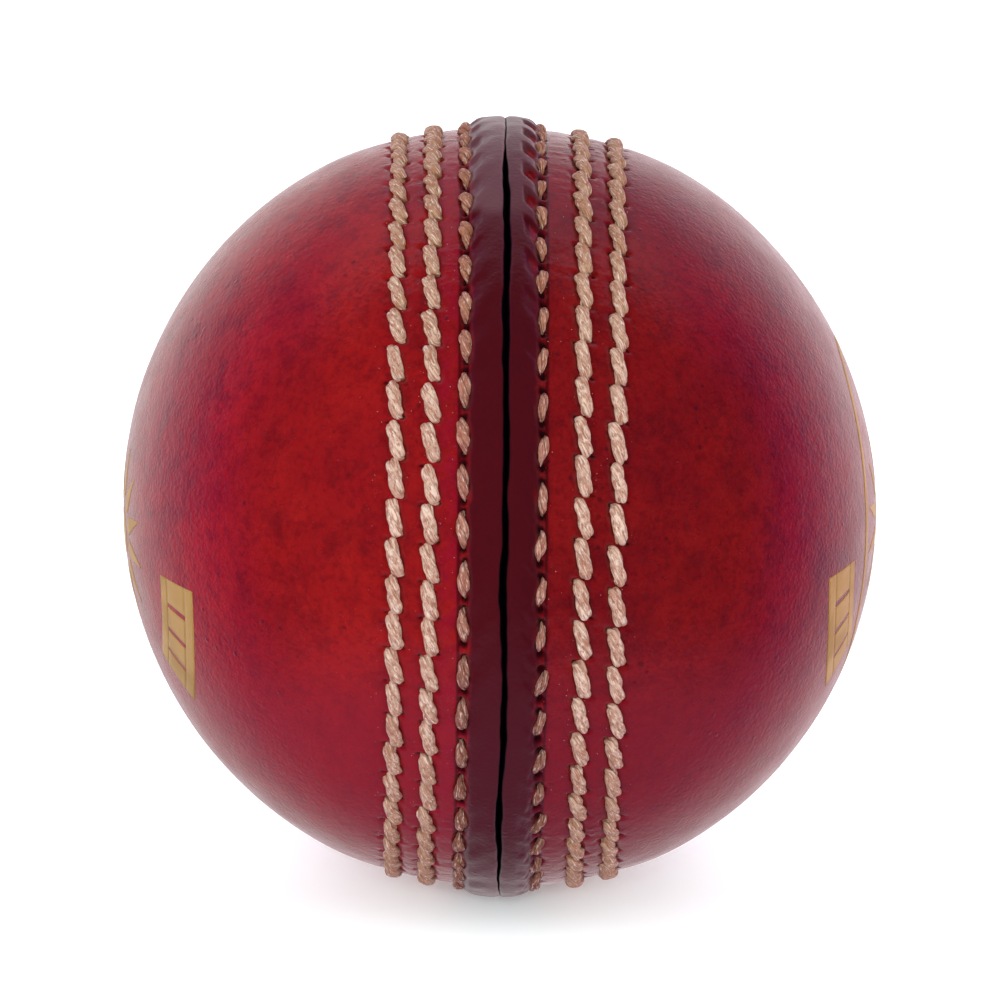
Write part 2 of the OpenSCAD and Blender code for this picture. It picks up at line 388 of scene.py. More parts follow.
def leather_height(side, x, theta):
    """Leather at distance x from the seam plane, as (height above the body sphere, crease from 0 to 1, dyed).

    crease is how darkly the creases, pits and awl holes are painted, as painted shade. dyed is the signed
    distance from the joint as the dye and the painted shade count it. It is larger in the pits on the right,
    so that they show the brighter leather without the painted welt shade."""
    profile = surface_profile(side)
    share = np.interp(x, profile[:, 0], profile[:, 1])
    h = share * welt_height(theta) + np.interp(x, profile[:, 0], profile[:, 2])
    flat = on_sphere(side * np.minimum(x, BODY_R), theta, np.zeros_like(x))
    h = h + 0.035 * noise(flat / 9.0, 21) + 0.012 * noise(flat / 3.6, 22)
    h = h + smoothstep(0.2, 0.9, share) * (0.055 * noise(flat / 2.8, 23) + 0.02 * noise(flat / 1.1, 24))
    outer = OFFSETS[side][OUTER]
    sewn = smoothstep(3.9, 4.6, x) * (1 - smoothstep(outer + 0.6, outer + 2.4, x))
    grain = flat * np.array([1 / 2.2, 1 / 0.60, 1 / 0.60])
    h = h + sewn * 0.035 * noise(grain, 25)
    pulled = folds(side, x, theta)
    beds, crease = stitch_beds(side, x, theta)
    # painted shade in the pits that the inner row pulls
    crease = np.maximum(crease, np.clip(-pulled * (0.25 if side > 0 else 0.7), 0, 0.45))
    dyed = side * (x - (2.6 * pulled if side > 0 else 0.0))
    foot = OFFSETS[side][INNER] + 0.50             # where the side of the welt meets the strip
    # painted shade along the foot of the welt
    crease = np.maximum(crease, 0.75 * np.exp(-(((x - foot) / 0.24) ** 2)))
    return h + pulled + beds, crease, dyed


# ---------------- the two leather cups
COLUMNS = 960           # points in a ring near the seam
# Distances from the joint of the rings of points across the welt and the sewn strip.
STATIONS = np.concatenate([
    np.array([0.20, 0.26, 0.34, 0.45]), np.arange(0.60, 1.25, 0.17), np.arange(1.25, 4.6, 0.14),
    np.arange(4.6, 12.4, 0.21),
])
FIRST_PLAIN = math.degrees(math.asin(STATIONS[-1] / BODY_R)) + 0.5
# The other rings, fewer points each as they narrow: (points, first latitude, last, step), in degrees.
PLAIN_RINGS = ((480, FIRST_PLAIN, 45, 0.9), (240, 46, 68, 1.2), (120, 69.4, 80, 1.5), (60, 81.5, 86, 1.5),
               (30, 87.3, 89, 1.0))
INSIDE_RINGS = ((480, 0.7, 1.6, 1.0), (240, 2.4, 50, 2.4), (120, 52, 74, 2.8), (60, 76, 84, 3),
                (30, 86, 88, 2))


def bridge(faces, start_a, count_a, start_b, count_b):
    """Faces between two rings: the second has as many points as the first, or half as many."""
    if count_a == count_b:
        for j in range(count_a):
            n = (j + 1) % count_a
            faces.append((start_a + j, start_a + n, start_b + n, start_b + j))
        return
    assert count_a == 2 * count_b
    for j in range(count_b):
        n = (j + 1) % count_b
        f0, f1, f2 = start_a + 2 * j, start_a + 2 * j + 1, start_a + (2 * j + 2) % count_a
        faces.append((f0, f1, start_b + j))
        faces.append((f1, start_b + n, start_b + j))
        faces.append((f1, f2, start_b + n))


def column_angles(count):
    return np.arange(count) * TAU / count


class Cup:
    """The points and faces of one cup. Each new ring is joined to the one before."""

    def __init__(self):
        self.verts, self.crease, self.dyed, self.faces = [], [], [], []
        self.last = None                            # (first point, number of points) of the ring before

    def add(self, points, crease, dyed):
        start = sum(len(v) for v in self.verts)
        self.verts.append(points)
        self.crease.append(crease)
        self.dyed.append(dyed)
        return start

    def ring(self, points, crease, dyed=None):
        start = self.add(points, crease, np.zeros(len(points)) if dyed is None else dyed)
        if self.last:
            bridge(self.faces, *self.last, start, len(points))
        self.last = (start, len(points))

    def pole(self, x, dyed):
        """Closes the last ring with a fan of triangles round a point on the ball's axis."""
        point = self.add(np.array([[x, 0.0, 0.0]]), np.zeros(1), np.array([dyed]))
        first, count = self.last
        for j in range(count):
            self.faces.append((first + j, first + (j + 1) % count, point))


def joint_rings(cup, side, theta, half_width, wander):
    """The joint face, from the inside of the cup to the bottom of the groove, and then the groove's wall."""
    touching = TOUCHING * side
    # crease 1: the joint face and the groove's wall are painted with dark shade
    for r in (INNER_R, (INNER_R + BODY_R) / 2):
        cup.ring(round_axis(np.full_like(theta, touching), r, theta), np.ones_like(theta))
    for share_x, share_h, extra in JOINT_WALL:
        points = on_sphere(side * share_x * half_width, theta, share_h * welt_height(theta) + extra)
        points[:, 0] += wander + (touching if share_x == 0 else 0)
        cup.ring(points, np.ones_like(theta))


def sewn_rings(cup, side, theta, half_width, wander):
    """The crest and the side of the welt, and the strip that the rows of stitches lie on."""
    for x0 in STATIONS:
        widen = (half_width - MOUTH) * (1 - smoothstep(0.2, 1.2, x0))
        x = np.full_like(theta, x0)
        h, crease, dyed = leather_height(side, x, theta)
        points = on_sphere(side * (x + widen), theta, h)
        points[:, 0] += wander * (1 - smoothstep(0.5, 3.2, x0))
        # painted shade on the lip at the joint
        lip = 1 - smoothstep(0.20, 0.27 + 0.13 * joint_open(theta), x0)
        cup.ring(points, np.maximum(crease, lip), dyed)


def plain_rings(cup, side):
    """The plain leather, out to the pole."""
    for count, low, high, step in PLAIN_RINGS:
        angles = column_angles(count)
        for latitude in np.arange(low, high, step):
            x = np.full_like(angles, BODY_R * math.sin(math.radians(latitude)))
            h, crease, dyed = leather_height(side, x, angles)
            cup.ring(on_sphere(side * x, angles, h), crease, dyed)
    pole_height = leather_height(side, np.array([BODY_R]), np.array([0.0]))[0][0]
    cup.pole(side * (BODY_R + pole_height), side * BODY_R)


def inside_rings(cup, side):
    """The inside of the cup, from its first ring back to its own pole."""
    cup.last = (0, COLUMNS)
    for count, low, high, step in INSIDE_RINGS:
        angles = column_angles(count)
        for latitude in np.radians(np.arange(low, high, step)):
            x = np.full_like(angles, side * INNER_R * math.sin(latitude))
            cup.ring(round_axis(x, INNER_R * math.cos(latitude), angles), np.zeros_like(angles))
    cup.pole(side * INNER_R, 0.0)


def cover_half(side, name):
    """One leather cup, closed all round."""
    theta = column_angles(COLUMNS)
    half_width = joint_width(theta)
    ring = seam_circle(theta)
    wander = 0.13 * noise(ring * 3.0, 31) + 0.10 * noise(ring * 9.0, 32) + 0.05 * noise(ring * 24.0, 33)
    cup = Cup()
    joint_rings(cup, side, theta, half_width, wander)
    sewn_rings(cup, side, theta, half_width, wander)
    plain_rings(cup, side)
    inside_rings(cup, side)
    points = np.concatenate(cup.verts)
    outside = np.linalg.norm(points, axis=1) > INNER_R + 0.5
    points[outside] = drift(points[outside])
    attributes = {"crease": np.concatenate(cup.crease), "dyed": np.concatenate(cup.dyed)}
    return build(name, points, cup.faces, attributes)


# ---------------- thread
PLIES = 3
PLY_SIDES = 12
FLAT = 0.88             # thread under tension is a little flatter than round


def crosswise(lines):
    """Unit vectors across each line of (u, v, h) points: level with the leather, and away from it."""
    along = np.gradient(lines, axis=1)
    along /= np.linalg.norm(along, axis=-1, keepdims=True)
    away = np.array([0.0, 0.0, 1.0]) - along[..., 2:3] * along
    away /= np.linalg.norm(away, axis=-1, keepdims=True)
    return np.cross(along, away), away


def tube_faces(first, rings):
    """Faces of one closed tube, whose points start at the number first."""
    faces = []
    end = first + (rings - 1) * PLY_SIDES
    for ring in range(first, end, PLY_SIDES):
        bridge(faces, ring, PLY_SIDES, ring + PLY_SIDES, PLY_SIDES)
    faces.append(tuple(range(first, first + PLY_SIDES)))
    faces.append(tuple(range(end + PLY_SIDES - 1, end - 1, -1)))
    return faces


def laid_on_ball(row, points):
    """Takes (u, v, h) points beside each stitch of a row to their places on the ball."""
    middle = row.angle(np.arange(row.count))[:, None, None]
    theta = middle - (points[..., 1] + row.along[:, None, None]) / row.radius
    x = row.x + row.across[:, None, None] + points[..., 0] * row.radius / BODY_R
    return on_sphere(x, theta, points[..., 2]).reshape(-1, 3)


def twisted_thread(name, row, centre, radius, ply_r, ply_at, twist, rings):
    """Twisted thread for every stitch of a row. centre(t, i) gives (u, v, h) of its middle line in mm."""
    t = np.sin(np.linspace(-1, 1, rings) * math.pi / 2)          # rings closer together towards the ends
    n = row.count
    i = np.arange(n)[:, None]
    c = centre(t[None, :], i)                                    # n, rings, 3
    right, up = crosswise(c)
    scale = radius(t)[None, :, None] * row.size[:, None, None]
    length = np.cumsum(np.linalg.norm(np.diff(c, axis=1, prepend=c[:, :1]), axis=-1), axis=1)
    start = rng.uniform(0, TAU, n)[:, None]
    around = np.arange(PLY_SIDES) * TAU / PLY_SIDES
    cos_around, sin_around = np.cos(around), np.sin(around)
    points, faces, uvs, tones, depths = [], [], [], [], []
    for ply in range(PLIES):
        turn = start + twist * length + ply * TAU / PLIES        # n, rings
        cos_turn, sin_turn = np.cos(turn)[..., None], np.sin(turn)[..., None]
        middle = c + scale * ply_at * (cos_turn * right + FLAT * sin_turn * up)
        ply_right, ply_up = crosswise(middle)
        jog = 1 + 0.05 * np.sin(length * 5.1 + ply * 2.0 + start * 3)
        pts = middle[:, :, None, :] + (scale * ply_r * jog[..., None])[:, :, None, :] * (
            cos_around[:, None] * ply_right[:, :, None, :]
            + FLAT * sin_around[:, None] * ply_up[:, :, None, :]
        )
        points.append(laid_on_ball(row, pts))
        shape = pts.shape[:3]
        u_coord = np.broadcast_to(length[:, :, None], shape) + i[:, :, None] * 7.3 + ply * 2.9
        v_coord = np.broadcast_to(around / TAU, shape)
        uvs.append(np.stack([u_coord, v_coord], axis=-1).reshape(-1, 2))
        tones.append(np.broadcast_to((row.tone[:, None, None] + 0.22 * ply) % 1.0, shape).ravel())
        from_middle = np.hypot(ply_at * cos_turn + ply_r * cos_around, ply_at * sin_turn + ply_r * sin_around)
        depths.append(from_middle.ravel())
        for stitch in range(n):
            faces += tube_faces((ply * n + stitch) * rings * PLY_SIDES, rings)
    attributes = {"tone": np.concatenate(tones), "depth": np.concatenate(depths)}
    return build(name, drift(np.concatenate(points)), faces, attributes, np.concatenate(uvs))


def long_stitches(row, name):
    """A middle or outer row: each stitch lies straight and turns down into its hole at both ends."""
    reach = half_length(row) - TURN_DOWN

    def centre(t, i):
        v = t * reach
        u = -(LEAN + row.lean[i]) * v * 1.1 - HOOK * t ** 5
        sag = 0.08 * t ** 2 + 1.05 * smoothstep(0.80, 1.0, np.abs(t))
        h = 0.08 - sag + 0.06 * (row.tone[i] - 0.5)
        return np.stack([u, v + 0 * row.lean[i], h], axis=-1)

    def radius(t):
        return THREAD_R * (1 - 0.10 * t ** 4)

    return twisted_thread(name, row, centre, radius, ply_r=0.62, ply_at=0.38, twist=1.25, rings=27)


def short_stitches(row, name):
    """An inner row: short lengths pulled tight into the crease at the foot of the welt."""
    lean = inner_lean(row, row.angle(np.arange(row.count)))

    def centre(t, i):
        s = t * 1.10
        v = s * INNER_HALF[row.side]
        u = -(lean[i] + 2 * row.lean[i]) * v
        h = 0.06 + 0.12 * (row.pull[i] - 1) - 0.80 * np.abs(s) ** 2.4
        return np.stack([u, v + 0 * row.lean[i], h], axis=-1)

    def radius(t):
        return INNER_THREAD_R[row.side] * (1 - 0.55 * np.abs(t) ** 1.8)

    return twisted_thread(name, row, centre, radius, ply_r=0.60, ply_at=0.42, twist=1.2, rings=21)


# ---------------- gold foil
FOIL = 0.02             # thickness that shows, mm
FOIL_SUNK = 0.06        # and under the leather's surface
BAND_DEPTH = 5.2
BAND_RIM = 1.2
BAND_HALF = 21          # degrees to each side of a band's middle
BAND_ANGLE = 29         # degrees below the front
SLOT_HALF = 0.85        # degrees
BAND_R = -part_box("right_foil_emblem")[0].y / MM / math.cos(math.radians(BAND_ANGLE - BAND_HALF))
OVAL_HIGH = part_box("right_foil_emblem")[1].z / MM
OVAL_WIDE = 9.6
OVAL_LINE = 0.9
RAY_ROOT, RAY_TIP, RAY_HALF = 3.6, 8.2, 0.9
RAYS = 12
DOT_R = 2.2
SLIP = {-1: math.radians(6.8), 1: 0.0}      # how far each emblem is off its pole, towards its front band


def slipped(side, directions):
    """Turns unit vectors so that the emblem's middle moves from the pole towards its front band."""
    angle = math.radians(BAND_ANGLE)
    turn = Matrix.Rotation(side * -SLIP[side], 3, Vector((0, -math.sin(angle), math.cos(angle))))
    return directions @ np.array(turn).T


def foil_patch(parts, side, r0, r1, a0, a1, steps_r, steps_a, width_at=None):
    """Adds one thin patch of foil to parts.

    It lies between radii r0 and r1 from the ball's axis, which may be functions of the angle, and between
    angles a0 and a1, where the front is 0 and down is 90. width_at gives half its width at each radius."""
    verts, faces = parts
    base = sum(len(v) for v in verts)
    closed = abs(a1 - a0) >= 360
    angles = np.radians(np.linspace(a0, a1, steps_a, endpoint=not closed))
    grid_t, grid_a = np.meshgrid(np.linspace(0, 1, steps_r), angles, indexing="ij")
    from_r = r0(grid_a) if callable(r0) else r0
    to_r = r1(grid_a) if callable(r1) else r1
    grid_r = from_r + (to_r - from_r) * grid_t
    if width_at is not None:
        middle = math.radians((a0 + a1) / 2)
        share = (grid_a - middle) / (math.radians(a1 - a0) / 2)
        grid_a = middle + np.arctan2(share * width_at(grid_r), grid_r)
    reach = grid_r / BODY_R
    outwards = side * np.sqrt(1 - reach ** 2)
    directions = np.stack([outwards, -reach * np.cos(grid_a), -reach * np.sin(grid_a)], axis=-1)
    directions = slipped(side, directions)
    x = np.abs(directions[..., 0]) * BODY_R
    h = leather_height(side, x, np.arctan2(-directions[..., 1], directions[..., 2]))[0]
    for lift in (FOIL, -FOIL_SUNK):
        verts.append(drift(directions * (BODY_R + h + lift)[..., None]).reshape(-1, 3))
    nr, na = grid_r.shape
    off = nr * na

    def at(i, j):
        return base + i * na + (j % na)

    last = na if closed else na - 1
    for i in range(nr - 1):
        for j in range(last):
            faces.append((at(i, j), at(i, j + 1), at(i + 1, j + 1), at(i + 1, j)))
            faces.append((off + at(i, j), off + at(i + 1, j), off + at(i + 1, j + 1), off + at(i, j + 1)))
    for j in range(last):
        faces.append((at(0, j), off + at(0, j), off + at(0, j + 1), at(0, j + 1)))
        faces.append((at(nr - 1, j), at(nr - 1, j + 1), off + at(nr - 1, j + 1), off + at(nr - 1, j)))
    if not closed:
        for i in range(nr - 1):
            faces.append((at(i, 0), at(i + 1, 0), off + at(i + 1, 0), off + at(i, 0)))
            faces.append((at(i, na - 1), off + at(i, na - 1), off + at(i + 1, na - 1), at(i + 1, na - 1)))


def ray_width(r):
    """Half the width of a ray at radius r. It is widest close to its root and ends in a point."""
    widest = (RAY_ROOT + RAY_TIP) / 3
    share = np.where(r < widest, (r - RAY_ROOT) / (widest - RAY_ROOT), (RAY_TIP - r) / (RAY_TIP - widest))
    return share.clip(0.01, 1) * RAY_HALF


def foil_emblem(side, name):
    """Plain emblem: two slotted bands, twelve rays and a dot, and on the right an upright oval line."""
    parts = ([], [])
    inner = BAND_R - BAND_DEPTH
    for turn in (BAND_ANGLE, BAND_ANGLE + 180):
        a0, a1 = turn - BAND_HALF, turn + BAND_HALF
        foil_patch(parts, side, inner, inner + BAND_RIM, a0, a1, 5, 40)
        foil_patch(parts, side, BAND_R - BAND_RIM, BAND_R, a0, a1, 5, 40)
        slots = [turn + k * BAND_HALF / 2 for k in (-1, 0, 1)]
        edges = [a0] + [s + d for s in slots for d in (-SLOT_HALF, SLOT_HALF)] + [a1]
        for e0, e1 in zip(edges[::2], edges[1::2]):
            foil_patch(parts, side, inner + BAND_RIM, BAND_R - BAND_RIM, e0, e1, 10, 12)

    def oval(inset):
        return lambda a: 1 / np.hypot(np.cos(a) / (OVAL_WIDE - inset), np.sin(a) / (OVAL_HIGH - inset))

    if side > 0:
        foil_patch(parts, side, oval(OVAL_LINE), oval(0), 0, 360, 4, 240)
    for k in range(RAYS):
        middle = (k + 0.5) * 360 / RAYS
        foil_patch(parts, side, RAY_ROOT, RAY_TIP, middle - 1, middle + 1, 24, 7, ray_width)
    foil_patch(parts, side, 0.15, DOT_R, 0, 360, 6, 48)
    return build(name, np.concatenate(parts[0]), parts[1])


# ---------------- materials
class Nodes:
    """Short hand for adding nodes to a tree and joining them up."""

    def __init__(self, tree):
        self.tree = tree

    def node(self, kind, inputs=None, **settings):
        n = self.tree.nodes.new(kind)
        for key, value in settings.items():
            setattr(n, key, value)
        for key, value in (inputs or {}).items():
            self.feed(n.inputs[key], value)
        return n

    def feed(self, socket, value):
        if isinstance(value, bpy.types.NodeSocket):
            self.tree.links.new(value, socket)
        else:
            socket.default_value = value

    def height_of(self, vector):
        return self.node("ShaderNodeSeparateXYZ", {"Vector": vector}).outputs["Z"]

    def ramp(self, value, low, high, out_low=0.0, out_high=1.0, smooth=True):
        inputs = {"Value": value, "From Min": low, "From Max": high, "To Min": out_low, "To Max": out_high}
        n = self.node("ShaderNodeMapRange", inputs)
        n.interpolation_type = "SMOOTHSTEP" if smooth else "LINEAR"
        return n.outputs["Result"]

    def level(self, value, low, high, out_low, out_high):
        return self.ramp(value, low, high, out_low, out_high, smooth=False)

    def math(self, operation, a, *others):
        """One operation, on one value or carried on through several."""
        for b in others or (0.0,):
            n = self.node("ShaderNodeMath", operation=operation)
            self.feed(n.inputs[0], a)
            self.feed(n.inputs[1], b)
            a = n.outputs[0]
        return a


class Graph(Nodes):
    """One material's nodes."""

    def __init__(self, name):
        self.material = bpy.data.materials.new(name)
        self.material.use_nodes = True
        super().__init__(self.material.node_tree)
        self.shader = self.tree.nodes["Principled BSDF"]

    def where(self):
        return self.node("ShaderNodeTexCoord").outputs["Object"]

    def mapped(self, vector, scale):
        return self.node("ShaderNodeMapping", {"Vector": vector, "Scale": scale}).outputs["Vector"]

    def noise(self, vector, scale, detail=2.0, rough=0.5, distortion=0.0):
        inputs = {"Vector": vector, "Scale": scale, "Detail": detail, "Roughness": rough,
                  "Distortion": distortion}
        return self.node("ShaderNodeTexNoise", inputs).outputs["Fac"]

    def cells(self, vector, scale, feature="F1"):
        inputs = {"Vector": vector, "Scale": scale}
        return self.node("ShaderNodeTexVoronoi", inputs, feature=feature).outputs["Distance"]

    def mix(self, share, a, b, blend="MIX"):
        n = self.node("ShaderNodeMix", data_type="RGBA", blend_type=blend)
        self.feed(n.inputs["Factor"], share)
        self.feed(n.inputs["A"], a)
        self.feed(n.inputs["B"], b)
        return n.outputs["Result"]

    def attribute(self, name):
        return self.node("ShaderNodeAttribute", attribute_name=name).outputs["Fac"]

    def bump(self, height, distance, strength=1.0, below=None):
        inputs = {"Height": height, "Distance": distance, "Strength": strength}
        if below is not None:
            inputs["Normal"] = below
        return self.node("ShaderNodeBump", inputs).outputs["Normal"]

    def set(self, **values):
        for key, value in values.items():
            self.feed(self.shader.inputs[key.replace("_", " ")], value)
        return self.material


def rgb(r, g, b):
    return (r, g, b, 1.0)


CRIMSON = rgb(0.295, 0.0066, 0.0098)
CRIMSON_LIGHT = rgb(0.368, 0.0096, 0.0094)
CRIMSON_DEEP = rgb(0.148, 0.0028, 0.0074)
# painted reflection: a bluer crimson that the lower part of the ball is painted towards
BLUISH_PAINTED_REFLECTION = rgb(0.302, 0.0060, 0.0240)
MAGENTA_DYE = rgb(0.285, 0.0045, 0.0215)
RIGHT_PAINTED_SHADE = rgb(0.66, 0.64, 0.78)           # painted shade: the right cup is painted darker, as less light falls on it
WELT_PAINTED_SHADE = rgb(0.063, 0.0046, 0.0090)
CREASE_PAINTED_SHADE = rgb(0.016, 0.0022, 0.0045)
GROOVE_PAINTED_SHADE = rgb(0.004, 0.004, 0.005)
PORE = rgb(0.060, 0.0035, 0.0070)
DUST = rgb(0.80, 0.75, 0.75)
WELT_PAINTED_REFLECTION = rgb(0.30, 0.18, 0.20)               # painted reflection on the welt
WAX = rgb(0.70, 0.50, 0.46)


def leather_pores(g, p):
    """Small dark specks that come in loose groups, and finer ones all over."""
    speck = g.ramp(g.cells(p, 680), 0.10, 0.20, 1.0, 0.0)
    group = g.ramp(g.noise(p, 160, 2), 0.52, 0.66)
    fine = g.ramp(g.cells(p, 1700), 0.10, 0.28, 1.0, 0.0)
    return g.math("MAXIMUM", g.math("MULTIPLY", speck, group), g.math("MULTIPLY", fine, 0.25))


def crimson_dye_and_painted_light(g, p, x, height, pores):
    """Clouds of brighter and deeper crimson under a little dust, with a painted bluish reflection towards the
    bottom and painted shade on the right cup.
    """
    colour = g.mix(g.ramp(g.noise(p, 95, 3, 0.55, 0.4), 0.35, 0.65), CRIMSON, CRIMSON_LIGHT)
    colour = g.mix(g.ramp(g.noise(p, 380, 4, 0.65), 0.44, 0.72, 0, 0.60), colour, CRIMSON_DEEP)
    colour = g.mix(g.ramp(g.noise(p, 1500, 2, 0.6), 0.44, 0.70, 0, 0.40), colour, CRIMSON_DEEP)
    near_left = g.math("MULTIPLY", g.ramp(x, -0.0074, -0.0050), g.ramp(x, -0.0044, -0.0034, 1.0, 0.0))
    patchy = g.ramp(g.noise(p, 620, 4, 0.62), 0.38, 0.62, 0.05, 0.80)
    colour = g.mix(g.math("MULTIPLY", near_left, patchy), colour, MAGENTA_DYE)
    colour = g.mix(g.math("MULTIPLY", pores, 0.60), colour, PORE)
    # painted reflection: bluer towards the bottom, for the bluish reflection there
    low = g.ramp(height, -0.003, -0.016)
    colour = g.mix(g.math("MULTIPLY", low, 0.55), colour, BLUISH_PAINTED_REFLECTION)
    # painted shade: the right cup is painted darker, a little less so towards the bottom
    right = g.math("MULTIPLY", g.ramp(x, -0.0002, 0.0002), g.level(low, 0.0, 1.0, 1.0, 0.72))
    colour = g.mix(right, colour, g.mix(1.0, colour, RIGHT_PAINTED_SHADE, "MULTIPLY"))
    dust = g.level(g.noise(p, 3400, 3, 0.75), 0.36, 0.64, 0.0, 0.0062)
    return g.mix(dust, colour, DUST)


def welt_painted_light(g, p, x, across, height, colour):
    """Painted shade on the welt, a painted reflection over its top and under its bottom, darker painted shade
    in the creases, and black painted shade in the joint.
    """
    wander = g.level(g.noise(p, 420, 3), 0.3, 0.7, -0.00030, 0.00030)
    welt = g.ramp(g.math("ADD", across, wander), 0.0028, 0.0038, 1.0, 0.0)
    # painted shade: the welt is painted far darker than the strips beside it
    colour = g.mix(g.math("MULTIPLY", welt, 0.94), colour, WELT_PAINTED_SHADE)
    # a painted reflection, lighter and greyer, over the top of the welt and a little under its bottom
    over = g.ramp(height, 0.0307, 0.0319, 0.0, 0.28)
    under = g.ramp(height, -0.0285, -0.0310, 0.0, 0.18)
    less_right = g.ramp(x, -0.0003, 0.0003, 1.0, 0.50)
    cloudy = g.ramp(g.noise(p, 300, 3), 0.3, 0.7, 0.75, 1.0)
    painted_reflection = g.math("MULTIPLY", g.math("MAXIMUM", over, under), welt, less_right, cloudy)
    colour = g.mix(painted_reflection, colour, WELT_PAINTED_REFLECTION)
    crease = g.attribute("crease")
    # painted shade in the creases, pits and awl holes
    colour = g.mix(g.ramp(crease, 0.22, 0.95, 0, 0.92), colour, CREASE_PAINTED_SHADE)
    # painted black shade in the groove of the joint
    joint = g.ramp(g.math("ADD", crease, g.ramp(across, 0.0004, 0.0006)), 0.55, 0.95)
    groove = g.math("MULTIPLY", joint, g.ramp(across, 0.00040, 0.00058, 1.0, 0.0))
    return g.mix(groove, colour, GROOVE_PAINTED_SHADE)


def wax_crumbs(g, p, across, colour):
    """Crumbs of wax left beside the stitches."""
    crumb = g.ramp(g.cells(p, 2100), 0.05, 0.11, 1.0, 0.0)
    sewn = g.math("MULTIPLY", g.ramp(across, 0.0032, 0.0040), g.ramp(across, 0.0112, 0.0128, 1.0, 0.0))
    some = g.ramp(g.noise(p, 1300, 1), 0.54, 0.62)
    return g.mix(g.math("MULTIPLY", crumb, sewn, some, 0.85), colour, WAX)


def leather_grain(g, p, pores):
    """Fine grain and low dimples under the lacquer."""
    normal = g.bump(g.noise(p, 520, 3, 0.55), 0.00005)
    normal = g.bump(g.cells(p, 2300), 0.000022, below=normal)
    normal = g.bump(g.noise(p, 3600, 3, 0.6), 0.000012, below=normal)
    return g.bump(pores, 0.000035, strength=0.7, below=normal)


def cover_leather():
    """Crimson leather under wax and lacquer, with painted shade on the welt and black painted shade in the
    joint.
    """
    g = Graph("cover_leather")
    p = g.where()
    x = g.math("MULTIPLY", g.attribute("dyed"), MM)
    across = g.math("ABSOLUTE", x)
    height = g.height_of(p)
    pores = leather_pores(g, p)
    colour = crimson_dye_and_painted_light(g, p, x, height, pores)
    colour = welt_painted_light(g, p, x, across, height, colour)
    colour = wax_crumbs(g, p, across, colour)
    lacquer = g.ramp(g.noise(p, 260, 4, 0.6), 0.3, 0.7, 0.20, 0.29)
    rough = g.math("ADD", lacquer, g.ramp(across, 0.0030, 0.0036, 0.09, 0.0))
    return g.set(Base_Color=colour, Roughness=rough, Normal=leather_grain(g, p, pores), IOR=1.5)


def thread_material(name, light, dark, gap, dirt, painted_lower_shade):
    """Waxed, twisted thread: streaks along each ply, with painted glints on its fibres and painted shade
    between the plies. It is painted darker and tan towards the top and bottom of the ball, as painted shade.

    painted_lower_shade is how much darker it is painted in the lower half of the ball, as painted shade."""
    g = Graph(name)
    p = g.where()
    height = g.height_of(p)
    strand = g.node("ShaderNodeUVMap", uv_map="strand").outputs["UV"]
    fibres = g.noise(g.mapped(strand, (1.6, 16, 1)), 1.0, 4, 0.65, 0.6)
    clumps = g.noise(g.mapped(strand, (0.9, 2.5, 1)), 1.0, 3, 0.6)
    share = g.math("ADD", g.math("MULTIPLY", fibres, 0.75), g.math("MULTIPLY", clumps, 0.45))
    colour = g.mix(g.ramp(share, 0.46, 0.70), dark, light)
    colour = g.mix(g.math("MULTIPLY", g.ramp(g.attribute("tone"), 0.2, 1.0), 0.35), colour, dirt)
    colour = g.mix(g.ramp(g.noise(p, 800, 3), 0.50, 0.70, 0, 0.50), colour, dirt)
    # painted shade: towards the top and bottom of the ball the thread is painted darker and tan
    tan = g.mix(1.0, dirt, rgb(1.0, 1.26, 0.76), "MULTIPLY")
    colour = g.mix(g.ramp(g.math("ABSOLUTE", height), 0.010, 0.034, 0.0, 0.64), colour, tan)
    # painted shade: darker in the lower half of the ball
    colour = g.mix(g.ramp(height, 0.001, -0.012, 0.0, painted_lower_shade), colour, gap)
    flecks = g.ramp(g.noise(g.mapped(strand, (1.8, 11, 1)), 1.0, 3, 0.6), 0.51, 0.64, 0, 0.90)
    colour = g.mix(flecks, colour, dirt)
    glints = g.ramp(g.noise(g.mapped(strand, (1.9, 15, 3)), 1.0, 3, 0.6), 0.53, 0.64, 0, 0.85)
    colour = g.mix(glints, colour, g.mix(0.60, light, rgb(1.0, 0.93, 0.85)))
    # painted shade between the plies, where they lie deepest
    colour = g.mix(g.ramp(g.attribute("depth"), 0.66, 0.84, 0.72, 0.0), colour, gap)
    relief = g.math("ADD", g.math("MULTIPLY", fibres, 0.7), g.math("MULTIPLY", g.noise(p, 5200, 2), 0.3))
    rough = g.ramp(clumps, 0.3, 0.7, 0.34, 0.58)
    return g.set(Base_Color=colour, Roughness=rough, Normal=g.bump(relief, 0.00012), IOR=1.46)


def gold_foil():
    """Thin gold leaf, pressed into the grain and slightly broken up."""
    g = Graph("gold_foil")
    p = g.where()
    worn = g.ramp(g.noise(p, 1500, 4, 0.7), 0.60, 0.75, 0, 0.35)
    cloud = g.noise(p, 220, 3)
    colour = g.mix(g.ramp(cloud, 0.35, 0.7), rgb(0.60, 0.40, 0.115), rgb(0.50, 0.325, 0.085))
    colour = g.mix(worn, colour, rgb(0.30, 0.13, 0.040))
    rough = g.ramp(cloud, 0.3, 0.7, 0.40, 0.52)
    normal = g.bump(g.cells(p, 2300), 0.000015)
    return g.set(Base_Color=colour, Metallic=0.25, Roughness=rough, Normal=normal)


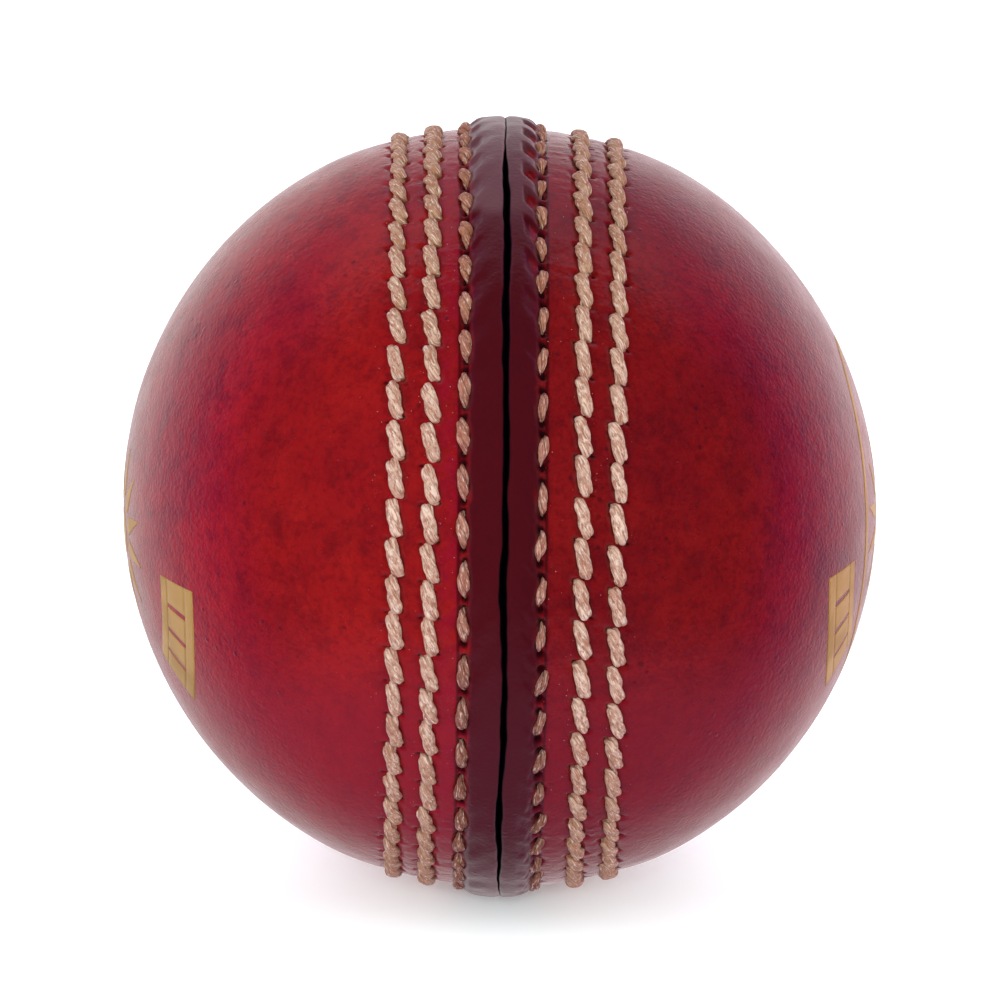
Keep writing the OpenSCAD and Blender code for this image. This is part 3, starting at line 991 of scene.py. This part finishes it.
def cork(name, light, dark, speck):
    """Pressed grains of cork, with dark lines between them and a few dark specks."""
    g = Graph(name)
    p = g.where()
    grains = g.cells(p, 900)
    edges = g.cells(p, 900, "DISTANCE_TO_EDGE")
    tone = g.noise(p, 500, 4, 0.6)
    colour = g.mix(g.ramp(tone, 0.35, 0.65), dark, light)
    colour = g.mix(g.ramp(edges, 0.0, 0.08, 0.7, 0.0), colour, speck)
    colour = g.mix(g.ramp(g.noise(p, 1700, 2), 0.66, 0.74), colour, speck)
    normal = g.bump(edges, 0.00015, below=g.bump(grains, 0.0001))
    return g.set(Base_Color=colour, Roughness=g.ramp(tone, 0.3, 0.7, 0.75, 0.92), Normal=normal)


def twine():
    """Twine wound close, turn beside turn."""
    g = Graph("twine")
    p = g.where()
    warp = g.noise(p, 60, 2)
    inputs = {"Vector": p, "Scale": 260, "Distortion": 6.0, "Detail": 2.0, "Detail Scale": 0.6}
    band = g.node("ShaderNodeTexWave", inputs, bands_direction="DIAGONAL").outputs["Fac"]
    fibre = g.noise(g.mapped(p, (900, 900, 3200)), 1.0, 3, 0.6)
    colour = g.mix(g.ramp(fibre, 0.35, 0.65), rgb(0.42, 0.30, 0.17), rgb(0.66, 0.53, 0.34))
    # painted shade: dark lines between the turns
    colour = g.mix(g.ramp(band, 0.0, 0.35, 0.6, 0.0), colour, rgb(0.16, 0.10, 0.05))
    colour = g.mix(g.ramp(warp, 0.5, 0.7, 0, 0.3), colour, rgb(0.50, 0.36, 0.20))
    normal = g.bump(band, 0.0004, below=g.bump(fibre, 0.00012))
    return g.set(Base_Color=colour, Roughness=0.85, Normal=normal, Sheen_Weight=0.3)


def lining_leather():
    """Thin undyed split leather with a short nap."""
    g = Graph("lining_leather")
    p = g.where()
    nap = g.noise(p, 2400, 4, 0.7)
    cloud = g.noise(p, 150, 3)
    colour = g.mix(g.ramp(cloud, 0.35, 0.65), rgb(0.52, 0.33, 0.18), rgb(0.42, 0.25, 0.13))
    colour = g.mix(g.ramp(nap, 0.5, 0.75, 0, 0.5), colour, rgb(0.66, 0.47, 0.30))
    return g.set(Base_Color=colour, Roughness=0.88, Normal=g.bump(nap, 0.0001), Sheen_Weight=0.2)


def floor_material():
    """White acrylic lit from above and, faintly, from below."""
    g = Graph("floor_white")
    tone = g.level(g.noise(g.where(), 3.0, 2), 0.0, 1.0, 0.93, 0.95)
    colour = g.node("ShaderNodeCombineColor", {"Red": tone, "Green": tone, "Blue": tone}).outputs["Color"]
    return g.set(Base_Color=colour, Roughness=0.9, Emission_Color=colour, Emission_Strength=0.16)


# ---------------- build the ball
LEATHER = cover_leather()
THREAD = thread_material(
    "thread", light=rgb(1.0, 0.775, 0.62), dark=rgb(0.53, 0.245, 0.155), gap=rgb(0.24, 0.092, 0.058),
    dirt=rgb(0.42, 0.172, 0.105), painted_lower_shade=0.12)
SEAM_THREAD = thread_material(
    "seam_thread", light=rgb(0.70, 0.36, 0.26), dark=rgb(0.32, 0.11, 0.075), gap=rgb(0.06, 0.018, 0.014),
    dirt=rgb(0.38, 0.13, 0.085), painted_lower_shade=0.48)
GOLD = gold_foil()

for side, word in WORDS.items():
    inner, middle, outer = ROWS[side]
    pieces = (
        (cover_half(side, word + "_cover_leather"), "_cover_half", "cover_leather", LEATHER),
        (short_stitches(inner, word + "_inner_thread"), "_inner_stitches", "seam_thread", SEAM_THREAD),
        (long_stitches(middle, word + "_middle_thread"), "_middle_stitches", "thread", THREAD),
        (long_stitches(outer, word + "_outer_thread"), "_outer_stitches", "thread", THREAD),
        (foil_emblem(side, word + "_gold_leaf"), "_foil_emblem", "gold_foil", GOLD),
    )
    for piece, node, slot, material in pieces:
        stands_for(piece, word + node, material)


def dress(names, material):
    """Gives carried-over CAD nodes their material."""
    for name in names:
        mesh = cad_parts[name].data
        mesh.materials.clear()
        mesh.materials.append(material)


dress(["cork_nucleus"],
      cork("cork_rubber", rgb(0.36, 0.17, 0.075), rgb(0.22, 0.09, 0.04), rgb(0.06, 0.025, 0.012)))
dress(["cork_layer_%d" % n for n in range(1, 5)],
      cork("cork", rgb(0.58, 0.34, 0.16), rgb(0.42, 0.22, 0.09), rgb(0.14, 0.06, 0.025)))
dress(["twine_winding_%d" % n for n in range(1, 6)], twine())
dress(["left_cover_lining", "right_cover_lining"], lining_leather())


# ---------------- floor, light and camera
def floor(z):
    """A wide white floor, for the camera only: the surround already stands in for its light."""
    me = bpy.data.meshes.new("floor")
    me.from_pydata([(-3, -3, z), (3, -3, z), (3, 3, z), (-3, 3, z)], [], [(0, 1, 2, 3)])
    ob = add_object("floor", me)
    me.materials.append(floor_material())
    ob.visible_diffuse = False
    ob.visible_glossy = False
    ob.visible_shadow = False
    ob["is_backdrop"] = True
    return ob


def towards(azimuth, rise):
    """Direction of a light, with its azimuth measured in degrees from the front towards the right."""
    a, e = math.radians(azimuth), math.radians(rise)
    return Vector((math.sin(a) * math.cos(e), -math.cos(a) * math.cos(e), math.sin(e)))


def soft_sun(name, azimuth, rise, spread, strength, colour=(1, 1, 1)):
    """A wide soft light from far away, which the lacquer doesn't mirror."""
    data = bpy.data.lights.new(name, "SUN")
    data.energy = math.pi * strength
    data.angle = math.radians(spread)
    data.color = colour
    ob = add_object(name, data)
    ob.rotation_euler = towards(azimuth, rise).to_track_quat("Z", "Y").to_euler()
    ob.visible_glossy = False
    data.cycles.use_multiple_importance_sampling = False
    return ob


class Sky(Nodes):
    """The world's nodes. Each light is a number for every direction."""

    def __init__(self, tree):
        super().__init__(tree)
        self.direction = self.node("ShaderNodeTexCoord").outputs["Generated"]
        self.height = self.height_of(self.direction)

    def along(self, vector):
        n = self.node("ShaderNodeVectorMath", operation="DOT_PRODUCT")
        self.feed(n.inputs[0], self.direction)
        self.feed(n.inputs[1], vector)
        return n.outputs["Value"]

    def background(self, colour):
        return self.node("ShaderNodeBackground", {"Color": colour, "Strength": 1.0}).outputs[0]


def surround():
    """The walls, ceiling and table that the ball mirrors, and a plain white backdrop for the camera."""
    world = bpy.data.worlds.new("studio")
    bpy.context.scene.world = world
    world.use_nodes = True
    world.node_tree.nodes.clear()
    sky = Sky(world.node_tree)
    back = sky.along((0, math.cos(CAMERA_RISE), -math.sin(CAMERA_RISE)))      # 1 straight behind the ball
    side = sky.along((1, 0, 0))

    # white walls that start beside the ball, later on the right, a dimmer ceiling, and the table in front
    above = sky.level(sky.height, 0.1, 0.9, 1.10, 0.50)
    below = sky.level(sky.height, -0.85, -0.05, 0.42, 1.0)
    behind = sky.ramp(back, -0.30, -0.02)
    edge = sky.math("ADD", back, sky.level(side, 0.70, 0.95, 0.0, -0.10))
    table = sky.ramp(sky.height, -0.30, -0.75)

    def mirrored(start, end, to_left, to_right, ceiling_from, ceiling_level, table_level):
        """One colour's light: where the walls start and end and their levels, the ceiling and the table."""
        sides = sky.level(side, -0.3, 0.4, to_left, to_right)
        wall = sky.math("MULTIPLY", sky.level(edge, start, end, 0.012, 0.95), above, below, sides)
        ceiling = sky.math("MULTIPLY", behind, sky.ramp(sky.height, ceiling_from, 0.90, 0.0, ceiling_level))
        return sky.math("MAXIMUM", wall, ceiling, sky.math("MULTIPLY", table, table_level))

    tint = sky.node("ShaderNodeCombineColor", {
        "Red": mirrored(-0.20, 0.72, 1.08, 1.38, 0.36, 0.60, 0.34),
        "Green": mirrored(0.16, 0.78, 1.08, 1.12, 0.60, 0.42, 0.19),
        "Blue": mirrored(-0.15, 0.72, 1.09, 1.18, 0.40, 0.54, 0.29),
    }).outputs["Color"]
    to_camera = sky.node("ShaderNodeLightPath").outputs["Is Camera Ray"]
    shown = sky.node("ShaderNodeMixShader", {"Fac": to_camera})
    sky.feed(shown.inputs[1], sky.background(tint))
    sky.feed(shown.inputs[2], sky.background((1, 1, 1, 1)))
    sky.node("ShaderNodeOutputWorld", {"Surface": shown.outputs[0]})


WASH = (0.84, 1.0, 1.0)             # makes up for the red that the ball throws on the floor


def studio(ground):
    """Two soft key lights, a faint fill, and washes that light the floor alone."""
    surround()
    soft_sun("key_left", -48, 14, 90, 0.70)
    soft_sun("key_right", 48, 14, 90, 0.62)
    soft_sun("fill_below", 0, -35, 120, 0.13)
    only_floor = bpy.data.collections.new("lit_by_wash")
    only_floor.objects.link(ground)
    for name, rise, spread, strength in (("wash_above", 90, 150, 0.74), ("wash_front", 8, 30, 2.20)):
        wash = soft_sun(name, 0, rise, spread, strength, WASH)
        wash.light_linking.receiver_collection = only_floor


CAMERA_AWAY = 22                    # distance to the camera, in radii of the ball
CAMERA_ROLL = math.radians(0.35)
BALL_SHARE = 0.7527                 # width of the ball over the width of the picture
SENSOR = 36


def camera():
    """Camera with a long lens, in front of the ball and a little above it."""
    data = bpy.data.cameras.new("camera")
    ob = add_object("camera", data)
    away = CAMERA_AWAY * BODY_R * MM
    place = Vector((0, -away * math.cos(CAMERA_RISE), away * math.sin(CAMERA_RISE)))
    ob.location = place
    facing = (-place).to_track_quat("-Z", "Y")
    ob.rotation_euler = (facing @ Quaternion((0, 0, 1), CAMERA_ROLL)).to_euler()
    data.sensor_width = SENSOR
    data.lens = SENSOR / 2 / math.tan(math.asin(1 / CAMERA_AWAY)) * BALL_SHARE
    data.shift_x = 0.0005
    data.shift_y = 0.0068
    data.clip_start = 0.01
    bpy.context.scene.camera = ob


low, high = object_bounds()
ground = floor(low.z)
studio(ground)
camera()

scene = bpy.context.scene
scene.view_settings.view_transform = "Standard"
scene.view_settings.look = "None"
scene.view_settings.exposure = 0.0
scene.cycles.use_denoising = True
